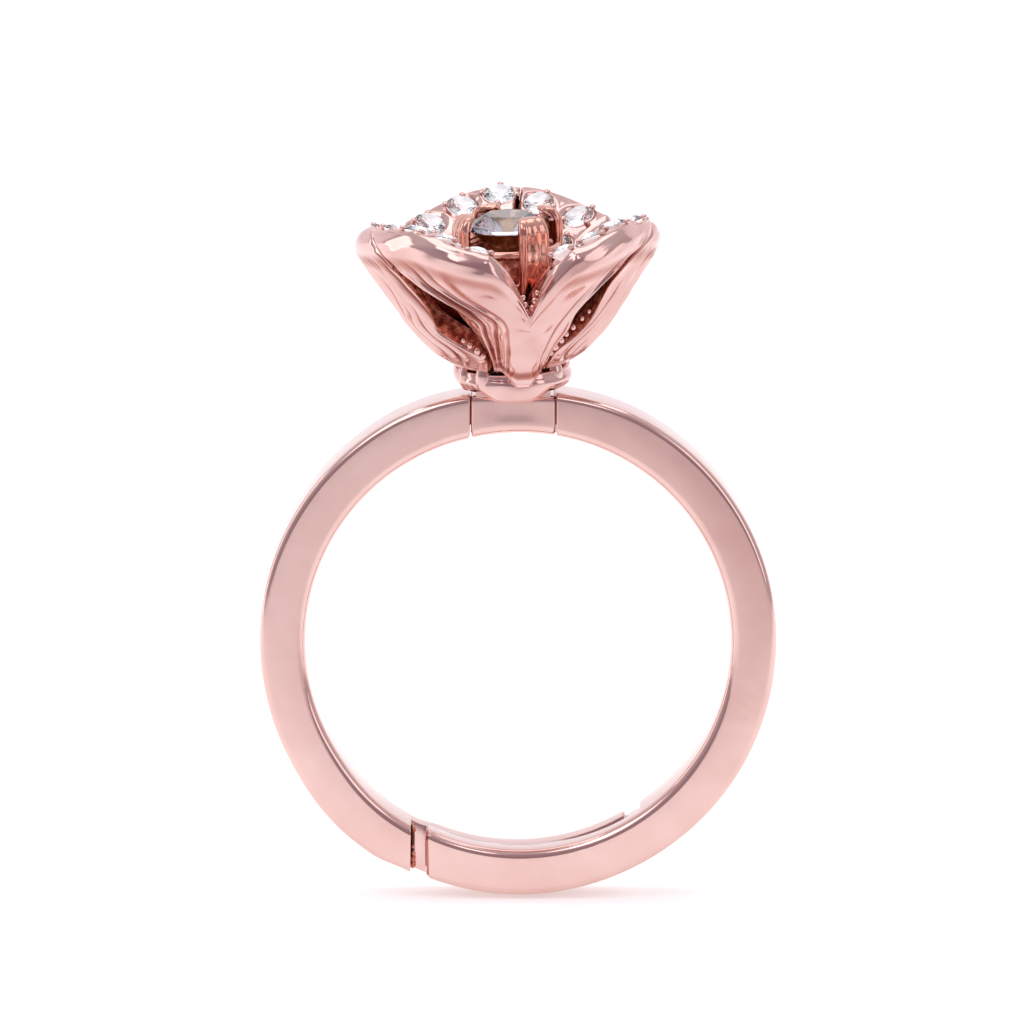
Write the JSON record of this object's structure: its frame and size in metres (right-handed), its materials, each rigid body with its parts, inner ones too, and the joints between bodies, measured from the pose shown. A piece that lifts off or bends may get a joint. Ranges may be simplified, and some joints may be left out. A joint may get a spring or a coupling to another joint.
{
  "type": "adjustable cocktail ring",
  "caption": "Adjustable finger ring with an overlapping split shank and a flower head of heart-shaped petals set with clear stones round a claw-set centre stone.",
  "frame": {"origin": "centre of the finger hole, midway between the band's two side faces", "axes": "+Z from the finger hole up through the flower head, +Y along the finger towards the rear face of the band, +X to the wearer's view right with the flower up"},
  "size_m": [0.0211, 0.0119, 0.0286],
  "materials": {
    "band_plating": "polished",
    "petal_plating": "polished",
    "claw_plating": "polished",
    "clear_crystal": "polished",
    "foiled_crystal": "polished"
  },
  "bodies": {
    "head": {"head_bridge": "band_plating", "petal_collar": "petal_plating", "petal_front": "petal_plating", "petal_back_left": "petal_plating", "petal_back_right": "petal_plating", "claw_setting": "claw_plating", "center_stone": "foiled_crystal", "stone_front_1": "clear_crystal", "stone_front_2": "clear_crystal", "stone_front_3": "clear_crystal", "stone_front_4": "clear_crystal", "stone_front_5": "clear_crystal", "stone_front_6": "clear_crystal", "stone_front_7": "clear_crystal", "stone_front_8": "clear_crystal", "stone_front_9": "clear_crystal", "stone_front_10": "clear_crystal", "stone_front_11": "clear_crystal", "stone_back_left_1": "clear_crystal", "stone_back_left_2": "clear_crystal", "stone_back_left_3": "clear_crystal", "stone_back_left_4": "clear_crystal", "stone_back_left_5": "clear_crystal", "stone_back_left_6": "clear_crystal", "stone_back_left_7": "clear_crystal", "stone_back_left_8": "clear_crystal", "stone_back_left_9": "clear_crystal", "stone_back_left_10": "clear_crystal", "stone_back_right_1": "clear_crystal", "stone_back_right_2": "clear_crystal", "stone_back_right_3": "clear_crystal", "stone_back_right_4": "clear_crystal", "stone_back_right_5": "clear_crystal", "stone_back_right_6": "clear_crystal", "stone_back_right_7": "clear_crystal", "stone_back_right_8": "clear_crystal", "stone_back_right_9": "clear_crystal"},
    "left_arm": {"shank_left_arm": "band_plating"},
    "right_arm": {"shank_right_arm": "band_plating"}
  },
  "joints": [
    {"name": "left_arm_flex", "type": "hinge", "parent": "head", "child": "left_arm", "pos_m": [-0.00196, 0, 0.01005], "axis": [0, 1, 0], "range_deg": [-0.5, 5]},
    {"name": "right_arm_flex", "type": "hinge", "parent": "head", "child": "right_arm", "pos_m": [0.00144, 0, 0.01005], "axis": [0, -1, 0], "range_deg": [-0.5, 5]}
  ]
}
